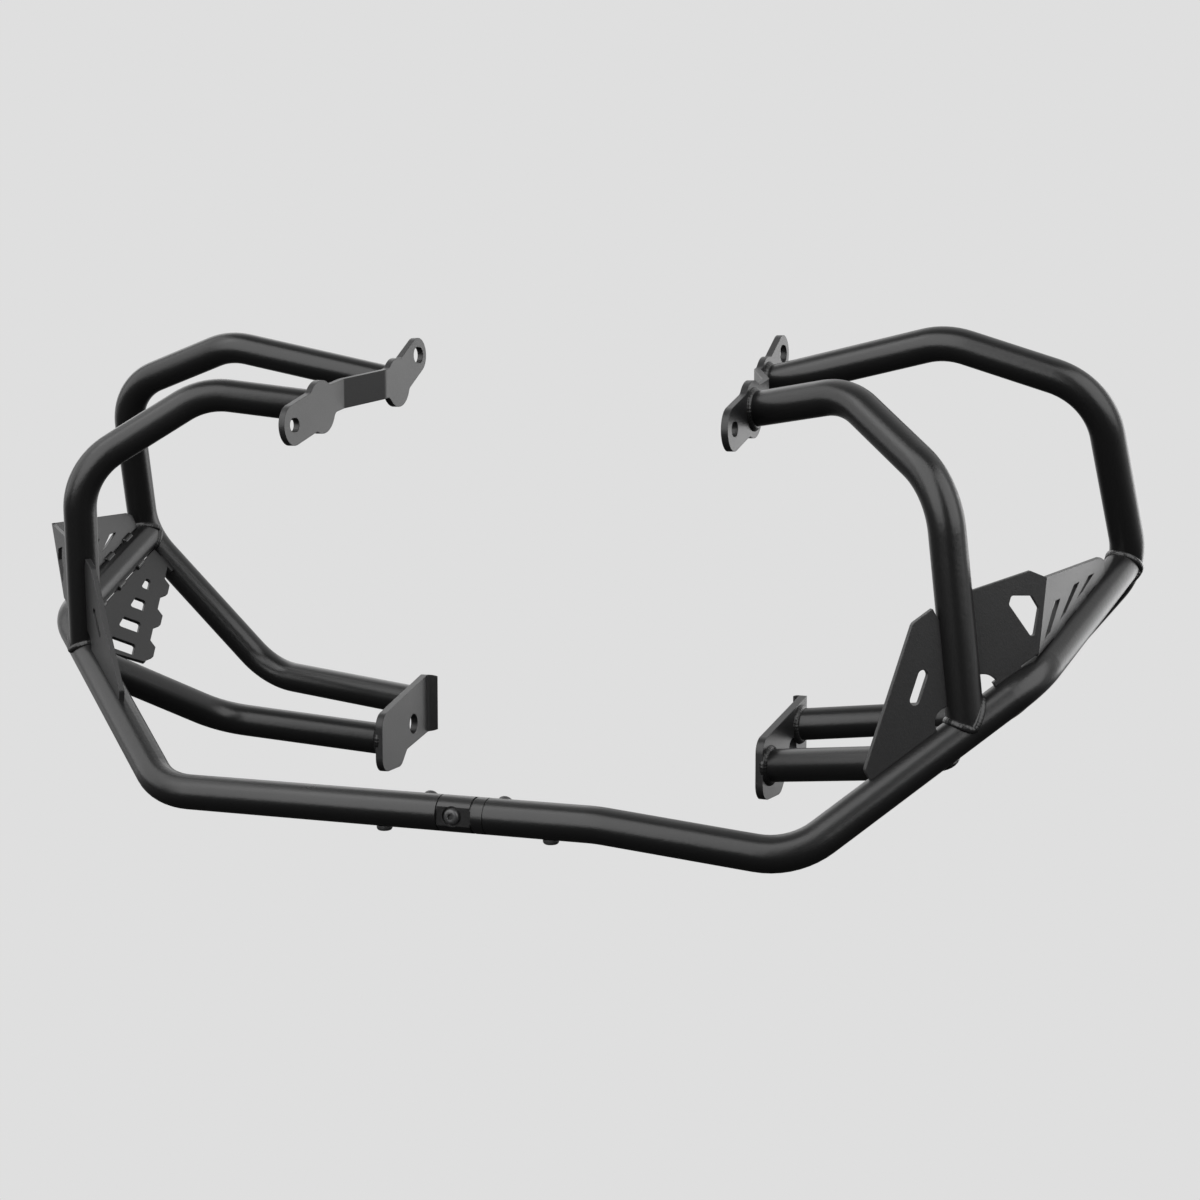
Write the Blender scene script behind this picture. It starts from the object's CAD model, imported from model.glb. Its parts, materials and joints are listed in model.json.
# %% [markdown]
# # Motorcycle crash bars
# Two halves of bent steel tube, welded to brackets, gussets and guards, joined under the engine by a
# bolted coupling, and coated in satin black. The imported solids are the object. This lesson gives them
# their coats, lays the weld runs, finishes the coupling and the guards, and then sets up the floor, the
# lights and the camera of the photograph. Lengths are in metres.

# %% Load the frame
import json
from functools import partial
from math import cos, pi, radians, sin
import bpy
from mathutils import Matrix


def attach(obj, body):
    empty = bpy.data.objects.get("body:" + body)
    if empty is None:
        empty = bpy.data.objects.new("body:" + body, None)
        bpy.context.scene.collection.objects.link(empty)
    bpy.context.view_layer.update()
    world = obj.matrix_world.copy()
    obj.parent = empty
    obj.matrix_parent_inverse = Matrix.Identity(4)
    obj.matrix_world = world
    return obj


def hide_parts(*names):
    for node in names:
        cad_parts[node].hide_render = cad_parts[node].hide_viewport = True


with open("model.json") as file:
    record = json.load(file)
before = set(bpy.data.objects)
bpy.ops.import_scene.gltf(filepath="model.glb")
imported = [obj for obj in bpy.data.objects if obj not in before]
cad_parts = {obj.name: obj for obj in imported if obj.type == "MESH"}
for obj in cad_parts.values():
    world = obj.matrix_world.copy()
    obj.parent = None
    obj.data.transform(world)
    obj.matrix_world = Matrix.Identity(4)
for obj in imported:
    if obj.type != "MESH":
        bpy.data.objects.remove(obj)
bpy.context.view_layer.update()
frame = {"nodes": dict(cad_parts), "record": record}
from types import SimpleNamespace

import bmesh
import bpy
from mathutils import Vector

nodes = frame["nodes"]

# %% [markdown]
# ## Helpers for shader nodes
# Every finish below is a handful of shader nodes. Placed one by one, they take a line for each property
# and each link. `add_node` does it in one call: it makes a node, sets its properties and fills its
# inputs. A plain value is set on the socket, and the output of another node is linked to it.
# `new_group` makes an empty node group with named sockets, which several materials can share.


# %% Nodes and groups
def add_node(tree, kind, place, settings=None, inputs=None):
    """Make a node, set its properties, and set or link its inputs."""
    node = tree.nodes.new(kind)
    node.location = place
    for name, value in (settings or {}).items():
        setattr(node, name, value)
    for name, value in (inputs or {}).items():
        if isinstance(value, bpy.types.NodeSocket):
            tree.links.new(value, node.inputs[name])
        else:
            node.inputs[name].default_value = value
    return node


def new_group(name, inputs, outputs):
    """An empty node group, and the two nodes where its sockets come in and go out."""
    tree = bpy.data.node_groups.new(name, "ShaderNodeTree")
    for label, kind, value in inputs:
        socket = tree.interface.new_socket(label, in_out="INPUT", socket_type=kind)
        socket.default_value = value
    for label, kind in outputs:
        tree.interface.new_socket(label, in_out="OUTPUT", socket_type=kind)
    start = add_node(tree, "NodeGroupInput", (-900, 0))
    end = add_node(tree, "NodeGroupOutput", (700, 0))
    return tree, start, end


def fresh_tree(owner):
    """The empty node tree of a new material or world."""
    owner.use_nodes = True
    owner.node_tree.nodes.clear()
    return owner.node_tree


# %% [markdown]
# Five kinds of node come up again and again: arithmetic, noise, a change of range, a bump and a mix of
# colours. Each has a short function here, which gives back the socket to go on from. Noise rarely
# leaves the middle of its range, so `NOISE_RANGE` is the stretch that is spread out where a mask has to
# reach from 0 to 1.

# %% Common nodes
NOISE_RANGE = (0.3, 0.7)


def maths(tree, place, operation, *values):
    """Arithmetic with two or three values or sockets."""
    settings = {"operation": operation}
    return add_node(tree, "ShaderNodeMath", place, settings, dict(enumerate(values))).outputs[0]


def noise(tree, place, vector, scale, detail, roughness):
    """A cloudy value, with its scale in clouds per metre."""
    inputs = {"Vector": vector, "Scale": scale, "Detail": detail, "Roughness": roughness}
    return add_node(tree, "ShaderNodeTexNoise", place, None, inputs).outputs["Fac"]


def spread(tree, place, value, start, end, low=0.0, high=1.0):
    """A value that goes from low to high while another goes from start to end."""
    inputs = {"Value": value, "From Min": start, "From Max": end, "To Min": low, "To Max": high}
    return add_node(tree, "ShaderNodeMapRange", place, None, inputs).outputs["Result"]


def bump(tree, place, strength, distance, height, normal):
    """A normal that is tilted by the slope of a height."""
    inputs = {"Strength": strength, "Distance": distance, "Height": height, "Normal": normal}
    return add_node(tree, "ShaderNodeBump", place, None, inputs).outputs["Normal"]


def mix_colour(tree, place, factor, first, second):
    """One colour that fades into another."""
    inputs = {"Factor": factor, "A": first, "B": second}
    return add_node(tree, "ShaderNodeMix", place, {"data_type": "RGBA"}, inputs).outputs["Result"]


# %% [markdown]
# ## The skin of powder coat
# Powder coat is sprayed on dry and melted in an oven. It sets with a fine orange peel and still finer
# grains, and its gloss wanders a little from place to place. A painted image could show that, but it
# needs every tube laid out flat. Noise in the object's own space needs no layout and has the same scale
# on every piece. All the finishes share the effect, so it is a group. It gives a bumped normal, a
# roughness that wanders, and a speckle that lets single grains catch the light.

# %% Powder coat: its sockets
coat, coat_in, coat_out = new_group(
    "powder_coat_skin",
    [
        ("Peel Scale", "NodeSocketFloat", 420.0),
        ("Peel Relief", "NodeSocketFloat", 0.15),
        ("Grain Scale", "NodeSocketFloat", 1500.0),
        ("Grain Relief", "NodeSocketFloat", 0.12),
        ("Roughness", "NodeSocketFloat", 0.42),
        ("Roughness Spread", "NodeSocketFloat", 0.08),
        ("Normal", "NodeSocketVector", (0.0, 0.0, 0.0)),
    ],
    [
        ("Normal", "NodeSocketVector"),
        ("Roughness", "NodeSocketFloat"),
        ("Speckle", "NodeSocketFloat"),
    ],
)
skin = coat_in.outputs
print("group", coat.name, len(skin) - 1, "inputs")

# %% Powder coat: peel and grain
PEEL_HEIGHT = 0.0008
GRAIN_HEIGHT = 0.0004

coat_place = add_node(coat, "ShaderNodeTexCoord", (-900, 300)).outputs["Object"]
peel = noise(coat, (-650, 300), coat_place, skin["Peel Scale"], detail=2.0, roughness=0.5)
grain = noise(coat, (-650, 0), coat_place, skin["Grain Scale"], detail=3.0, roughness=0.6)
peel_bump = bump(coat, (-250, 250), skin["Peel Relief"], PEEL_HEIGHT, peel, skin["Normal"])
grain_bump = bump(coat, (0, 150), skin["Grain Relief"], GRAIN_HEIGHT, grain, peel_bump)
speckle = spread(coat, (0, -100), grain, *NOISE_RANGE)
coat.links.new(grain_bump, coat_out.inputs["Normal"])
coat.links.new(speckle, coat_out.inputs["Speckle"])
print("peel and grain", len(coat.nodes), "nodes so far")

# %% Powder coat: gloss that wanders
WANDER_SCALE = 14.0
NOISE_MIDDLE = 0.5

wander = noise(coat, (-650, -300), coat_place, WANDER_SCALE, detail=3.0, roughness=0.55)
wander = maths(coat, (-400, -300), "SUBTRACT", wander, NOISE_MIDDLE)
rough = maths(coat, (-150, -300), "MULTIPLY_ADD", wander, skin["Roughness Spread"], skin["Roughness"])
coat.links.new(rough, coat_out.inputs["Roughness"])
print("group", coat.name, len(coat.nodes), "nodes")

# %% [markdown]
# ## Rounded and worn edges
# Sheared and laser-cut plates have a small round at each edge, where the coat is thin and a little
# lighter. Rounds in the mesh would take many faces along every hole and slot. The Bevel node bends the
# normal near an edge instead, and where the bent normal departs from the flat one, there is an edge.
# The group gives the softened normal and that mask, broken up by noise so that the light line comes and
# goes.

# %% Edge group
EDGE_SAMPLES = 4
FLAT_AGREEMENT = 0.99
EDGE_AGREEMENT = 0.8

edge, edge_in, edge_out = new_group(
    "thin_edge",
    [("Radius", "NodeSocketFloat", 0.0006), ("Breakup Scale", "NodeSocketFloat", 160.0)],
    [("Normal", "NodeSocketVector"), ("Mask", "NodeSocketFloat")],
)
edge_normal = add_node(
    edge, "ShaderNodeBevel", (-600, 200), {"samples": EDGE_SAMPLES}, {"Radius": edge_in.outputs["Radius"]}
).outputs["Normal"]
flat_normal = add_node(edge, "ShaderNodeNewGeometry", (-600, -50)).outputs["Normal"]
agreement = add_node(
    edge, "ShaderNodeVectorMath", (-350, 50), {"operation": "DOT_PRODUCT"},
    {0: edge_normal, 1: flat_normal},
).outputs["Value"]
bent = spread(edge, (-100, 50), agreement, FLAT_AGREEMENT, EDGE_AGREEMENT)
edge_place = add_node(edge, "ShaderNodeTexCoord", (-600, -300)).outputs["Object"]
cloud_scale = edge_in.outputs["Breakup Scale"]
clouds = noise(edge, (-350, -300), edge_place, cloud_scale, detail=4.0, roughness=0.65)
breakup = spread(edge, (-100, -300), clouds, *NOISE_RANGE)
edge.links.new(edge_normal, edge_out.inputs["Normal"])
edge.links.new(maths(edge, (150, 0), "MULTIPLY", bent, breakup), edge_out.inputs["Mask"])
print("group", edge.name, len(edge.nodes), "nodes")

# %% [markdown]
# ## Materials
# All five finishes are black on steel, and most of what the eye sees of them is reflected light. Each
# could be drawn as a shader of its own, but only their values differ, so one function makes them all
# from the two groups. The shader itself stays in the material, and what is the same all over the
# surface is set on its sockets.

# %% A black coat
SPECKLE_LIFT = 1.6


def coated(name, colour, edge_colour, edge_radius, specular, finish):
    """A black coat: its colour, the lighter one at thin edges, its shine, and the values of its skin."""
    material = bpy.data.materials.new(name)
    tree = fresh_tree(material)
    rim = add_node(tree, "ShaderNodeGroup", (-700, 0), {"node_tree": edge}, {"Radius": edge_radius}).outputs
    skin_values = {**finish, "Normal": rim["Normal"]}
    surface = add_node(tree, "ShaderNodeGroup", (-450, 0), {"node_tree": coat}, skin_values).outputs
    grain_colour = [SPECKLE_LIFT * channel for channel in colour[:3]] + [1.0]
    grey = mix_colour(tree, (-200, 250), surface["Speckle"], colour, grain_colour)
    grey = mix_colour(tree, (0, 250), rim["Mask"], grey, edge_colour)
    shader = add_node(
        tree, "ShaderNodeBsdfPrincipled", (250, 100), None,
        {
            "Base Color": grey,
            "Roughness": surface["Roughness"],
            "Normal": surface["Normal"],
            "Specular IOR Level": specular,
        },
    )
    add_node(tree, "ShaderNodeOutputMaterial", (600, 100), None, {"Surface": shader.outputs["BSDF"]})
    print("material", name)
    return material


# %% [markdown]
# The tubes are smooth and satin. The plates are a little greyer and more matt, and their cut edges
# show. The turned coupling has the tubes' black with less peel. The screws are blackened, not coated,
# so they are the lightest. The weld runs have the tubes' coat, drawn tighter over the ripples and so a
# little glossier.

# %% The five finishes
SATIN_BLACK = (0.006, 0.006, 0.0061, 1.0)
PLATE_BLACK = (0.012, 0.012, 0.0123, 1.0)
SCREW_GREY = (0.03, 0.03, 0.0306, 1.0)
RUN_BLACK = (0.007, 0.007, 0.0071, 1.0)
THIN_COAT = (0.03, 0.03, 0.0306, 1.0)
PLATE_RIM = (0.055, 0.055, 0.0561, 1.0)
SCREW_RIM = (0.12, 0.12, 0.1224, 1.0)

tube_black = coated(
    "tube_satin_black", SATIN_BLACK, THIN_COAT, edge_radius=0.0005, specular=0.5,
    finish={
        "Peel Scale": 380.0, "Peel Relief": 0.10,
        "Grain Scale": 1600.0, "Grain Relief": 0.10,
        "Roughness": 0.29,
    },
)
plate_black = coated(
    "plate_textured_black", PLATE_BLACK, PLATE_RIM, edge_radius=0.0008, specular=0.44,
    finish={
        "Peel Scale": 520.0, "Peel Relief": 0.08,
        "Grain Scale": 1300.0, "Grain Relief": 0.15,
        "Roughness": 0.38,
    },
)
coupling_black = coated(
    "coupling_black", SATIN_BLACK, THIN_COAT, edge_radius=0.0003, specular=0.5,
    finish={
        "Peel Scale": 600.0, "Peel Relief": 0.05,
        "Grain Scale": 2200.0, "Grain Relief": 0.12,
        "Roughness": 0.29,
    },
)
screw_black = coated(
    "screw_blackened", SCREW_GREY, SCREW_RIM, edge_radius=0.0004, specular=0.6,
    finish={
        "Peel Scale": 900.0, "Peel Relief": 0.06,
        "Grain Scale": 2600.0, "Grain Relief": 0.15,
        "Roughness": 0.28,
    },
)
weld_black = coated(
    "weld_satin_black", RUN_BLACK, THIN_COAT, edge_radius=0.0003, specular=0.5,
    finish={
        "Peel Scale": 420.0, "Peel Relief": 0.15,
        "Grain Scale": 1600.0, "Grain Relief": 0.12,
        "Roughness": 0.27,
    },
)

# %% Coat the solids
BY_SLOT = {
    "tube_coat": tube_black,
    "plate_coat": plate_black,
    "coupling_coat": coupling_black,
    "screw_black": screw_black,
}
for part in frame["record"]["subparts"]:
    target = nodes[part["node"]]
    target.data.materials.clear()
    target.data.materials.append(BY_SLOT[part["material_slot"]])
print("coated", len(nodes), "nodes")

# %% [markdown]
# ## Weld runs
# A welder lays a bead round each tube where it ends on a plate or on another tube, drop over drop,
# which leaves a row of ripples. The solids have plain collars there. A bump in the material could
# ripple those, but their outline would stay smooth, so each run is a mesh of its own: a round section
# is swept along the corner, and swells and shrinks with each ripple. An open run is thinner at both
# ends, where the welder starts and stops.

# %% A row of rings
TUBE_RADIUS = 0.0125
BEAD_HEIGHT = 0.0019
BEAD_WIDTH = 0.0028
BEAD_LIFT = 0.0004
BEAD_SIDES = 12
RIPPLE_PITCH = 0.0023
RIPPLE_DEPTH = 0.07
RIPPLE_LEAN = 0.5


def bead_ring(bm, point, up, across, phase, size, taper):
    """One round of points across a bead, swollen by its place in the ripple."""
    ring = []
    for j in range(BEAD_SIDES):
        turn = 2 * pi * j / BEAD_SIDES
        swell = taper * (1.0 - RIPPLE_DEPTH + RIPPLE_DEPTH * abs(sin(phase + RIPPLE_LEAN * cos(turn))))
        height = BEAD_LIFT * size + BEAD_HEIGHT * swell * cos(turn)
        reach = BEAD_WIDTH * swell * sin(turn)
        ring.append(bm.verts.new(point + (up * height + across * reach)))
    return ring


def join_rings(bm, rings, closed):
    """Faces between each ring of points and the next, and a cap at both ends of an open row."""
    following = rings[1:] + rings[:1] if closed else rings[1:]
    for first, second in zip(rings, following):
        for j in range(len(first)):
            k = (j + 1) % len(first)
            bm.faces.new((first[j], first[k], second[k], second[j]))
    if not closed:
        bm.faces.new(reversed(rings[0]))
        bm.faces.new(rings[-1])


print("bead", 2 * BEAD_WIDTH, "wide, with a ripple every", RIPPLE_PITCH)

# %% A bead along a path
FEWEST_RIPPLES = 2
TAPER_START = 0.45
TAPER_RATE = 8.0


def lay_bead(bm, path, closed, size=1.0):
    """Sweep a rippled round along a path of points, each with the direction out of its corner."""
    count = len(path)
    steps = [(path[i][0] - path[i - 1][0]).length for i in range(1, count)]
    total = sum(steps) + ((path[0][0] - path[-1][0]).length if closed else 0.0)
    ripples = max(FEWEST_RIPPLES, round(total / RIPPLE_PITCH))
    rings = []
    travelled = 0.0
    for i, (point, out) in enumerate(path):
        ahead = path[(i + 1) % count][0] if closed or i + 1 < count else point
        behind = path[i - 1][0] if closed or i else point
        along = (ahead - behind).normalized()
        up = (out - along * out.dot(along)).normalized()
        phase = pi * ripples * travelled / total
        to_end = min(travelled, total - travelled)
        taper = 1.0 if closed else min(1.0, TAPER_START + TAPER_RATE * to_end / total)
        rings.append(bead_ring(bm, point, up, along.cross(up), phase, size, taper * size))
        travelled += steps[i] if i < len(steps) else 0.0
    join_rings(bm, rings, closed)


# %% [markdown]
# ## Where the runs lie
# The ends of the tubes repeat the places of the solids, for one half with X away from the middle. The
# other half has the sign of X turned. The hoops differ from side to side, and with them the places of
# what stands on them, so each half has its own values: lengths from the elbow along the hoop, and the
# guard's fold.

# %% Places on the tubes
UPRIGHT_CORNER = (0.332, -0.2195, 0.216)
STRUT_BEND = (0.285, -0.0985, 0.013)
KNEE = (0.4165, 0.0012, 0.1525)
HEEL = (0.319, 0.0405, 0.0295)
# The piece that a tube ends on, the last bend before the end, and the end
TUBE_ENDS = [
    ("upper_bracket", (0.253, -0.167, 0.275), (0.1755, -0.131, 0.264)),
    ("upper_bracket", (0.2955, -0.058, 0.3125), (0.1575, -0.038, 0.2825)),
    ("lower_bracket", HEEL, (0.1681, 0.017, 0.0165)),
    ("lower_bracket", STRUT_BEND, (0.1639, -0.049, -0.0055)),
]
HALVES = {
    "right": {
        "sign": 1,
        "elbow": (0.3845, -0.176, 0.088),
        "corner": (0.2505, -0.2765, -0.0235),
        "upright": 0.057,
        "strut": 0.078,
        "toe": 0.130,
        "fold": (-0.043, 0.053),
    },
    "left": {
        "sign": -1,
        "elbow": (0.3855, -0.1605, 0.0955),
        "corner": (0.2125, -0.296, -0.007),
        "upright": 0.048,
        "strut": 0.068,
        "toe": 0.141,
        "fold": (-0.0475, 0.061),
    },
}
print("places for", len(HALVES), "halves")


# %% Points and directions on each half
def on_side(half, point):
    """A point on the right or the left half."""
    return Vector((half["sign"] * point[0], point[1], point[2]))


def places_on(half):
    """The points and directions on one half that its runs are set out from."""
    elbow, corner, knee, heel = (on_side(half, p) for p in (half["elbow"], half["corner"], KNEE, HEEL))
    run = (corner - elbow).normalized()
    upright_foot = elbow + run * half["upright"]
    rise = on_side(half, UPRIGHT_CORNER) - upright_foot
    square = (rise - run * rise.dot(run)).normalized()
    return SimpleNamespace(
        elbow=elbow,
        knee=knee,
        heel=heel,
        run=run,
        rear_run=(knee - elbow).normalized(),
        upright_foot=upright_foot,
        rise=rise,
        square=square,
        fold=elbow + run * half["fold"][0] + square * half["fold"][1],
    )


PLACES = {side: places_on(half) for side, half in HALVES.items()}
for side, spots in PLACES.items():
    print(side, "hoop run", [round(value, 3) for value in spots.run])

# %% [markdown]
# ## Runs round the tube ends
# The corner round a tube's end is a curve in space wherever the tube lands at a slant or on another
# tube. It could be worked out for every pair of shapes. Instead, lines along the tube's skin are cast
# onto the piece that it ends on, and where they land is the corner, whatever the shape.

# %% The corner round a tube's end
STEPS_ROUND = 168
CAST_LENGTH = 0.06
SKIN_SHARE = 0.985


def round_path(carrier, start, end):
    """The corner round a tube's end, found by casting lines along its skin onto the piece it ends on."""
    along = (end - start).normalized()
    first = along.orthogonal().normalized()
    second = along.cross(first)
    path = []
    for i in range(STEPS_ROUND):
        turn = 2 * pi * i / STEPS_ROUND
        out = first * cos(turn) + second * sin(turn)
        origin = end - along * CAST_LENGTH + out * (SKIN_SHARE * TUBE_RADIUS)
        hit, place, normal, _ = carrier.ray_cast(origin, along)
        if hit:
            path.append((place, (out + normal).normalized()))
    return path


print("lines cast at each end", STEPS_ROUND)

# %% Runs round the tube ends
BRACKET_BEAD = 1.3
TUBE_BEAD = 1.0


def lay_tube_runs(bm, side, half, spots):
    """A closed run round each tube end of one half. Gives the number of points in each."""
    ends = [(name, on_side(half, start), on_side(half, end)) for name, start, end in TUBE_ENDS]
    ends.append(("hoop_tube", on_side(half, UPRIGHT_CORNER), spots.upright_foot))
    ends.append(("hoop_tube", on_side(half, STRUT_BEND), spots.elbow + spots.run * half["strut"]))
    ends.append(("rear_tube", spots.elbow, spots.knee))
    landed = []
    for name, start, end in ends:
        path = round_path(nodes[f"{side}_{name}"], start, end)
        landed.append(len(path))
        lay_bead(bm, path, True, BRACKET_BEAD if name.endswith("bracket") else TUBE_BEAD)
    return landed


# %% [markdown]
# ## Tacks
# A sheet would warp if it were welded all along, so sheets are only tacked. The guards have a short run
# at the inner side of each foot, and the gussets have three on their rear face, where they don't show
# from the front: two on the hoop and one on the upright. The corner at the foot of a flat sheet on a
# tube is a straight line, so it is worked out from the tube's axis and the sheet's thickness.

# %% The foot of a sheet
TACK_STEP = 0.0006
FEWEST_STEPS = 8


def tack_path(origin, along, above, low, high, half_sheet, face):
    """The corner at the foot of a sheet that stands on a tube, from one place on its axis to another."""
    rise = (above - along * above.dot(along)).normalized()
    normal = along.cross(rise) * face
    height = (TUBE_RADIUS**2 - half_sheet**2) ** 0.5
    foot = origin + rise * height + normal * half_sheet
    steps = max(FEWEST_STEPS, round((high - low) / TACK_STEP))
    out = (rise + normal).normalized()
    return [(foot + along * (low + (high - low) * i / steps), out) for i in range(steps + 1)]


print("tacks with a ring every", TACK_STEP)

# %% Tacks at the guards
FRONT_TABS = [0.014]
REAR_TABS = [0.048, 0.092, 0.132]
LOWER_TABS = [0.049, 0.091, 0.133]
TACK = 0.015
TACK_BEAD = 1.15
HALF_GUARD = 0.0015


def tack_guards(bm, half, spots):
    """A tack at the inner side of each foot of the two guards."""
    feet = [(spots.elbow, spots.run, spots.rise, place) for place in FRONT_TABS]
    feet += [(spots.elbow, spots.rear_run, spots.fold - spots.elbow, place) for place in REAR_TABS]
    feet += [(spots.knee, -spots.rear_run, spots.heel - spots.knee, place) for place in LOWER_TABS]
    for origin, along, above, place in feet:
        inner = -1 if along.cross(above).x * half["sign"] > 0 else 1
        low, high = place - TACK / 2, place + TACK / 2
        lay_bead(bm, tack_path(origin, along, above, low, high, HALF_GUARD, inner), False, TACK_BEAD)


print("tacks at the guards", len(FRONT_TABS + REAR_TABS + LOWER_TABS), "on each half")

# %% Tacks behind the gussets
HALF_GUSSET = 0.002
# Where the tacks start and end: along the hoop from the upright and from the toe, and up the upright
FROM_UPRIGHT = (0.026, 0.044)
FROM_TOE = (-0.026, -0.006)
UP_UPRIGHT = (0.032, 0.062)


def tack_gusset(bm, half, spots):
    """Three tacks on the rear face of the gusset."""
    run, rise = spots.run, spots.rise
    rear_face = 1 if run.cross(spots.square).y > 0 else -1
    for start, (low, high) in ((half["upright"], FROM_UPRIGHT), (half["toe"], FROM_TOE)):
        path = tack_path(spots.elbow, run, rise, start + low, start + high, HALF_GUSSET, rear_face)
        lay_bead(bm, path, False)
    up = rise.normalized()
    upright_face = 1 if up.cross(run - up * run.dot(up)).y > 0 else -1
    lay_bead(bm, tack_path(spots.upright_foot, up, run, *UP_UPRIGHT, HALF_GUSSET, upright_face), False)


print("gusset tacks start", FROM_UPRIGHT[0], "from the upright")

# %% [markdown]
# ## One piece of runs for each half
# All the runs of a half are one mesh, as the collars of the solids are one piece, and it takes their
# place.


# %% Lay the runs
def filled_mesh(bm, name):
    """A mesh with what was drawn, which is then put away."""
    mesh = bpy.data.meshes.new(name)
    bm.to_mesh(mesh)
    bm.free()
    return mesh


def in_scene(name, data):
    """A new object in the scene."""
    item = bpy.data.objects.new(name, data)
    bpy.context.scene.collection.objects.link(item)
    return item


for side, half in HALVES.items():
    bm = bmesh.new()
    landed = lay_tube_runs(bm, side, half, PLACES[side])
    tack_guards(bm, half, PLACES[side])
    tack_gusset(bm, half, PLACES[side])
    for face in bm.faces:
        face.smooth = True
    mesh = filled_mesh(bm, f"{side}_weld_runs")
    mesh.materials.append(weld_black)
    runs = in_scene(f"{side}_weld_runs", mesh)
    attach(runs, "root")
    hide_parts(f"{side}_weld_beads")
    print(runs.name, landed, len(mesh.polygons), "faces")

# %% [markdown]
# ## Edge breaks at the coupling
# Where the two turned inserts meet each other and the tubes, a fine dark line runs round the bar. On
# the real part it is the edge that the lathe breaks at each shoulder. A dark line in the material would
# be flat, while a step in the shape keeps its own shadow in every light. So a copy of each insert has
# the step cut out of its shoulders with a thin ring, and stands in for the plain one. The copy takes
# only points and faces from the solid: shading that was carried over would not fit the cut shape.

# %% A ring to cut with
RUN_Y = -0.296
RUN_Z = -0.007
STEP_WIDTH = 0.0008
RING_STEPS = 96
# A part of a step, so that the corners of the ring don't meet the insert's own points
RING_TURN = 0.37
RING_OVERLAP = 0.0001
RING_PROUD = 0.001


def shoulder_ring(place, way, depth):
    """A thin ring that takes a step out of a shoulder, at a place along the bar."""
    inner, outer = TUBE_RADIUS - depth, TUBE_RADIUS + RING_PROUD
    low, high = sorted((place - way * RING_OVERLAP, place + way * STEP_WIDTH))
    profile = [(low, inner), (high, inner), (high, outer), (low, outer)]
    bm = bmesh.new()
    rings = []
    for i in range(RING_STEPS):
        turn = 2 * pi * (i + RING_TURN) / RING_STEPS
        rings.append([bm.verts.new((x, RUN_Y + r * cos(turn), RUN_Z + r * sin(turn))) for x, r in profile])
    join_rings(bm, rings, True)
    bmesh.ops.recalc_face_normals(bm, faces=bm.faces)
    return in_scene("shoulder_ring", filled_mesh(bm, "shoulder_ring"))


print("step", STEP_WIDTH, "wide")

# %% A plain copy of a solid
JOIN_DISTANCE = 0.000002
SHARP_ANGLE = radians(17)


def plain_copy(node, name, place=Vector):
    """A mesh of a node's points and faces alone, with doubled points joined and each point put in place."""
    bm = bmesh.new()
    bm.from_mesh(node.data)
    bmesh.ops.remove_doubles(bm, verts=bm.verts, dist=JOIN_DISTANCE)
    bm.verts.index_update()
    points = [place(vert.co) for vert in bm.verts]
    faces = [[vert.index for vert in face.verts] for face in bm.faces]
    bm.free()
    mesh = bpy.data.meshes.new(name)
    mesh.from_pydata(points, [], faces)
    return mesh


def finish_mesh(mesh, material):
    """Give a mesh its material, and smooth shading with sharp edges."""
    mesh.materials.clear()
    mesh.materials.append(material)
    mesh.shade_smooth()
    mesh.set_sharp_from_angle(angle=SHARP_ANGLE)


# %% Turned inserts
STEP_DEPTH = 0.0009
FAINT_DEPTH = 0.0005
# The place along the bar, which way the step goes from it, and its depth
INSERT_SHOULDERS = {
    "coupling_socket": [(0.0090, 1, STEP_DEPTH), (0.0350, -1, STEP_DEPTH)],
    "coupling_tongue": [(0.0445, -1, FAINT_DEPTH), (0.03515, 1, FAINT_DEPTH)],
}

for name, shoulders in INSERT_SHOULDERS.items():
    insert = in_scene(f"{name}_turned", plain_copy(nodes[name], f"{name}_plain"))
    rings = [shoulder_ring(*shoulder) for shoulder in shoulders]
    for ring in rings:
        cut = insert.modifiers.new("step", "BOOLEAN")
        cut.operation = "DIFFERENCE"
        cut.solver = "EXACT"
        cut.object = ring
    shaped = insert.evaluated_get(bpy.context.evaluated_depsgraph_get())
    insert.data = bpy.data.meshes.new_from_object(shaped)
    insert.data.name = insert.name
    insert.modifiers.clear()
    for ring in rings:
        bpy.data.objects.remove(ring)
    finish_mesh(insert.data, coupling_black)
    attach(insert, "root")
    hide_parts(name)
    print(insert.name, len(insert.data.polygons), "faces, was", len(nodes[name].data.polygons))

# %% [markdown]
# ## Guards drawn up to the hoop
# The sheets of the guards stand on the hoop with short feet. In the picture no light comes through
# between sheet and tube, so the free edge lies almost on the tube, while the solids keep a gap there. A
# copy of each guard is made, and its lowest edge is pulled towards the axis of the hoop until a hair's
# breadth is left.

# %% Guards
HOOP_GAP = 0.002
HAIR_SHARE = 0.25
NEAR_EDGE = 0.0002


def drawn_up(point, lines):
    """A point of a guard's edge, pulled towards the nearest straight run of the hoop."""
    feet = [origin + along * (point - origin).dot(along) for origin, along in lines]
    nearest = min(feet, key=lambda foot: (point - foot).length)
    out = point - nearest
    height = out.length - TUBE_RADIUS
    if not 0.0 < height < HOOP_GAP + NEAR_EDGE:
        return point
    return nearest + out.normalized() * (TUBE_RADIUS + HAIR_SHARE * height)


for side, spots in PLACES.items():
    lines = [(spots.elbow, spots.run), (spots.elbow, spots.rear_run)]
    for name in (f"{side}_upper_side_guard", f"{side}_lower_side_guard"):
        mesh = plain_copy(nodes[name], f"{name}_sheet", partial(drawn_up, lines=lines))
        finish_mesh(mesh, plate_black)
        sheet = in_scene(f"{name}_sheet", mesh)
        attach(sheet, "root")
        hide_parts(name)
        print(sheet.name, len(mesh.vertices), "points")

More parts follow.
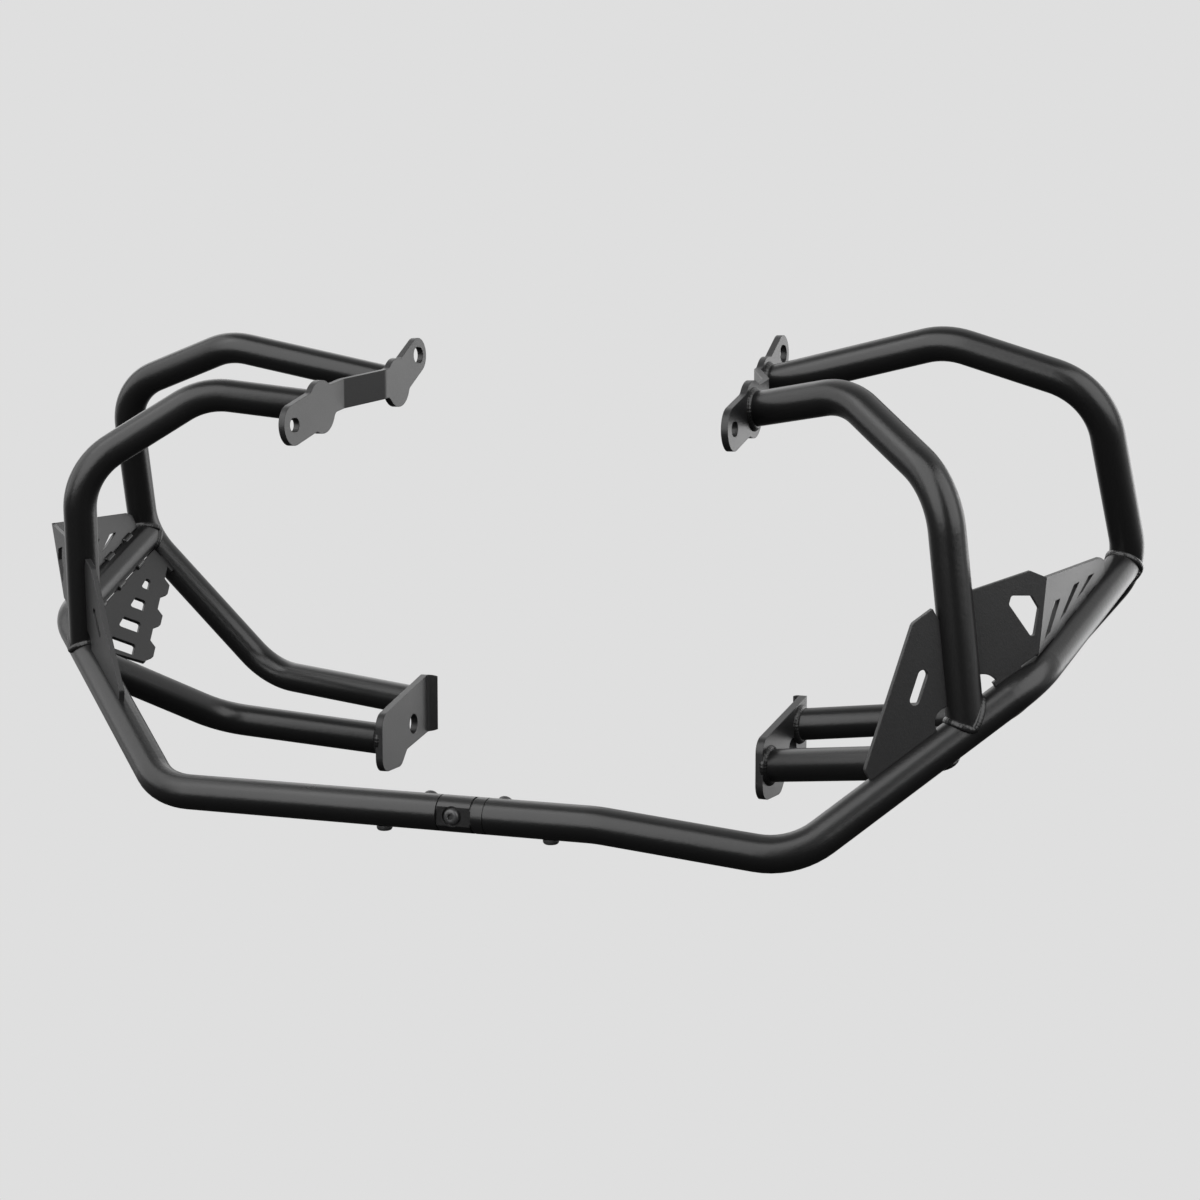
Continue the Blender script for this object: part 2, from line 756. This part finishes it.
# %% [markdown]
# ## Floor
# The picture has one even pale grey all round the object and no shadow in sight, so the floor lies well
# below. A lit floor would shade off with distance. Instead, most of it simply has that grey for the
# camera, and the part below the object keeps some of its own shading, with the object's shadow. It
# throws little light back up, which leaves the undersides of the tubes as dark as they are in the
# picture.

# %% Floor
FLOOR_LEVEL = -0.9
FLOOR_REACH = 40.0

bm = bmesh.new()
bmesh.ops.create_grid(bm, x_segments=1, y_segments=1, size=FLOOR_REACH)
floor = in_scene("studio_floor", filled_mesh(bm, "studio_floor"))
floor.location = (0.0, 0.0, FLOOR_LEVEL)
print("floor at", FLOOR_LEVEL)

# %% [markdown]
# Reflections need the grey too, because the tubes mirror what stands round them. The dark bands on the
# tubes show that the room in front of the object is dark, so for reflections the grey grows with the
# distance from the object and from front to back.

# %% How even the floor is
BACKGROUND = (0.738, 0.738, 0.738, 1.0)
FRONT_SHARE = 0.12
CAMERA_FADE = (0.3, 1.2)
CAMERA_SHARE = 0.6
MIRROR_FADE = (1.5, 7.0)
FLOOR_FRONT_TO_BACK = (-2.0, 3.0)

floor_paint = bpy.data.materials.new("studio_floor")
tree = fresh_tree(floor_paint)
place = add_node(tree, "ShaderNodeTexCoord", (-900, 0)).outputs["Object"]
distance = add_node(
    tree, "ShaderNodeVectorMath", (-700, 0), {"operation": "LENGTH"}, {0: place}
).outputs["Value"]
depth = add_node(tree, "ShaderNodeSeparateXYZ", (-700, -300), None, {"Vector": place}).outputs["Y"]
for_camera = spread(tree, (-500, 100), distance, *CAMERA_FADE, low=CAMERA_SHARE)
for_mirrors = spread(tree, (-500, -150), distance, *MIRROR_FADE)
behind = spread(tree, (-500, -400), depth, *FLOOR_FRONT_TO_BACK, low=FRONT_SHARE)
rays = add_node(tree, "ShaderNodeLightPath", (-900, 400)).outputs
looks = maths(tree, (-500, 350), "MAXIMUM", rays["Is Camera Ray"], rays["Is Transmission Ray"])
mirrored = maths(tree, (-450, -150), "MULTIPLY", rays["Is Glossy Ray"], behind)
even_share = maths(
    tree, (-50, 200), "MAXIMUM",
    maths(tree, (-250, 300), "MULTIPLY", looks, for_camera),
    maths(tree, (-250, 100), "MULTIPLY", mirrored, for_mirrors),
)
print("floor paint", len(tree.nodes), "nodes so far")

# %% Paint the floor
FLOOR_BOUNCE = (0.03, 0.03, 0.03, 1.0)

colour = mix_colour(tree, (-450, -350), looks, FLOOR_BOUNCE, BACKGROUND)
matt = add_node(tree, "ShaderNodeBsdfDiffuse", (-250, -50), None, {"Color": colour})
even = add_node(tree, "ShaderNodeEmission", (-250, -200), None, {"Color": BACKGROUND, "Strength": 1.0})
paint = add_node(
    tree, "ShaderNodeMixShader", (0, 0), None,
    {0: even_share, 1: matt.outputs["BSDF"], 2: even.outputs["Emission"]},
)
add_node(tree, "ShaderNodeOutputMaterial", (250, 0), None, {"Surface": paint.outputs["Shader"]})
floor.data.materials.append(floor_paint)
print("floor paint", len(tree.nodes), "nodes")

# %% [markdown]
# ## Backdrop
# Above the floor the same grey goes on. A wall could carry it, but the world behind everything does
# that from any side. The camera sees it in full, reflections see it fade from back to front, and as a
# lamp it is very weak, so that the soft boxes alone shape the tubes.

# %% Backdrop
SKY_FRONT_TO_BACK = (-0.1, 0.5)
DIM_STRENGTH = 0.03

world = bpy.data.worlds.new("studio")
bpy.context.scene.world = world
tree = fresh_tree(world)
rays = add_node(tree, "ShaderNodeLightPath", (-900, 200)).outputs
looks = maths(tree, (-650, 200), "MAXIMUM", rays["Is Camera Ray"], rays["Is Transmission Ray"])
direction = add_node(tree, "ShaderNodeTexCoord", (-1300, -100)).outputs["Generated"]
depth = add_node(tree, "ShaderNodeSeparateXYZ", (-1100, -100), None, {"Vector": direction}).outputs["Y"]
behind = spread(tree, (-900, -100), depth, *SKY_FRONT_TO_BACK, low=FRONT_SHARE)
mirrored = maths(tree, (-650, 0), "MULTIPLY", rays["Is Glossy Ray"], behind)
seen = maths(tree, (-450, 200), "MAXIMUM", looks, mirrored)
dim = add_node(
    tree, "ShaderNodeBackground", (-250, 0), None, {"Color": BACKGROUND, "Strength": DIM_STRENGTH}
)
plain = add_node(tree, "ShaderNodeBackground", (-250, -150), None, {"Color": BACKGROUND, "Strength": 1.0})
sky = add_node(
    tree, "ShaderNodeMixShader", (0, 0), None,
    {0: seen, 1: dim.outputs["Background"], 2: plain.outputs["Background"]},
)
add_node(tree, "ShaderNodeOutputWorld", (250, 0), None, {"Surface": sky.outputs["Shader"]})
print("backdrop", world.name, len(tree.nodes), "nodes")

# %% [markdown]
# ## Light
# The highlights on the round tubes show where the lamps were. A large soft box stands in front, a
# little to the left and high up, one on each side, the left one weaker, and a low one behind on the
# right, which lights the faces that look that way. A weak one behind on the left keeps the rear from
# sinking into black. A lamp's brightness is its power spread over its area, and a black coat mirrors
# about a twenty-fifth of it.

# %% Lights
LAMP_TARGET = Vector((0.0, -0.1, 0.1))
# Name, place, width and height, and power in watts
SOFT_BOXES = [
    ("front", (-0.43, -1.72, 1.19), (2.2, 3.0), 52.0),
    ("left", (-1.65, -0.64, 1.1), (1.6, 2.2), 16.0),
    ("right", (1.68, -0.65, 1.04), (1.9, 2.1), 30.0),
    ("right_back", (1.35, 2.1, 0.3), (1.6, 1.6), 15.0),
    ("left_back", (-1.5, 1.5, 1.2), (1.8, 1.8), 8.0),
]

for name, place, size, power in SOFT_BOXES:
    lamp = bpy.data.lights.new(name, "AREA")
    lamp.shape = "RECTANGLE"
    lamp.size, lamp.size_y = size
    lamp.energy = power
    box = in_scene(name, lamp)
    box.location = place
    box.rotation_euler = (LAMP_TARGET - Vector(place)).to_track_quat("-Z", "Y").to_euler()
    box.visible_camera = False
    print("soft box", name, power, "W")

# %% [markdown]
# ## Camera
# The place and angle were worked out from the picture: the two halves are nearly mirror images, and
# every tube has the same diameter, which fixes the distance. The focal length was found in pixels of
# the picture, and the lens follows from it and from the width of the sensor.

# %% Camera
CAMERA_PLACE = Vector((0.6511, -1.6148, 0.2867))
CAMERA_YAW = radians(21.782)
CAMERA_PITCH = radians(5.811)
FOCAL_PIXELS = 2190.0
FRAME_PIXELS = 1200.0
SENSOR_WIDTH = 36.0

ahead = Vector(
    (-sin(CAMERA_YAW) * cos(CAMERA_PITCH), cos(CAMERA_YAW) * cos(CAMERA_PITCH), -sin(CAMERA_PITCH))
)
lens = bpy.data.cameras.new("photo_camera")
lens.sensor_fit = "HORIZONTAL"
lens.sensor_width = SENSOR_WIDTH
lens.lens = SENSOR_WIDTH * FOCAL_PIXELS / FRAME_PIXELS
camera = in_scene("photo_camera", lens)
camera.location = CAMERA_PLACE
camera.rotation_euler = ahead.to_track_quat("-Z", "Y").to_euler()
bpy.context.scene.camera = camera
print("camera", round(lens.lens, 2), "mm lens")

# %% [markdown]
# ## Finish
# The colours are shown as they are written. The boxes of the solids and of the dressed part go to a
# file, to see that nothing has grown.

# %% Finish
bpy.context.scene.view_settings.view_transform = "Standard"
